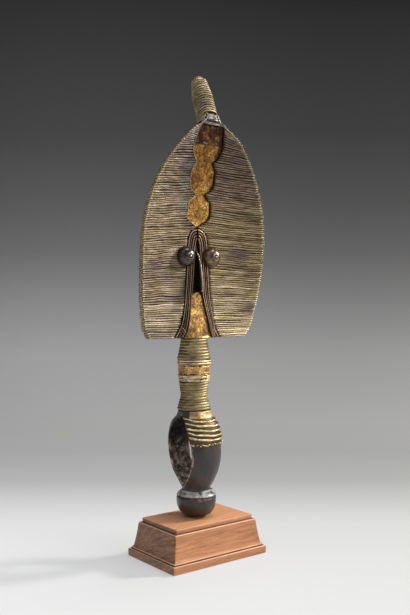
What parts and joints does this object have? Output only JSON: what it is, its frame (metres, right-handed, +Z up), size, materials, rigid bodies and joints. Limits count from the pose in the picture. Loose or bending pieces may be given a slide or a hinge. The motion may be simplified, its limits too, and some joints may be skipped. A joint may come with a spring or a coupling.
{
  "type": "reliquary guardian figure",
  "caption": "Wire-clad wooden reliquary figure with a hollow leaf-shaped face, topknot, wound neck and pierced handle, standing on a moulded wooden base.",
  "frame": {"origin": "middle of the underside of the stand", "axes": "+Z up; the face looks towards -Y; +X to the viewer's right when facing it"},
  "size_m": [0.1394, 0.0714, 0.4349],
  "materials": {
    "stand_wood": "oiled reddish-brown hardwood with fine grain",
    "figure_wood": "old dark wood, polished by handling, with worn reddish edges",
    "brass_wire": "hammered brass wire with brown and grey patina",
    "brow_wire": "dark patinated brass wire with worn bright crests",
    "golden_brass": "yellow brass sheet, hand-beaten, speckled with tarnish",
    "copper": "dark red-brown copper sheet with traces of verdigris",
    "tarnished_plate": "grey tarnished sheet with punched dots",
    "dark_iron": "dark forged iron, worn smooth"
  },
  "bodies": {
    "root": {"stand_base": "stand_wood", "wooden_core": "figure_wood", "face_plate": "golden_brass", "crown_plate": "copper", "throat_plate": "golden_brass", "topknot_plate": "tarnished_plate", "nose_blade": "dark_iron", "topknot_wire": "brass_wire", "neck_wire_lower": "brass_wire", "neck_wire_twisted_1": "brass_wire", "neck_wire_twisted_2": "brass_wire", "neck_band": "golden_brass", "neck_wire_raised_1": "brass_wire", "neck_wire_raised_2": "brass_wire", "neck_wire_upper": "brass_wire", "shoulder_sheet_front": "golden_brass", "shoulder_beads_front": "golden_brass", "face_wires_left": "brass_wire", "brow_wires_left": "brow_wire", "eye_dome_left": "dark_iron", "eye_pin_left": "brass_wire", "face_wires_right": "brass_wire", "brow_wires_right": "brow_wire", "eye_dome_right": "dark_iron", "eye_pin_right": "brass_wire", "shoulder_strip_front_1": "golden_brass", "shoulder_strip_front_2": "golden_brass", "shoulder_strip_front_3": "golden_brass", "shoulder_strip_front_4": "golden_brass", "shoulder_strip_front_5": "golden_brass"}
  },
  "joints": []
}
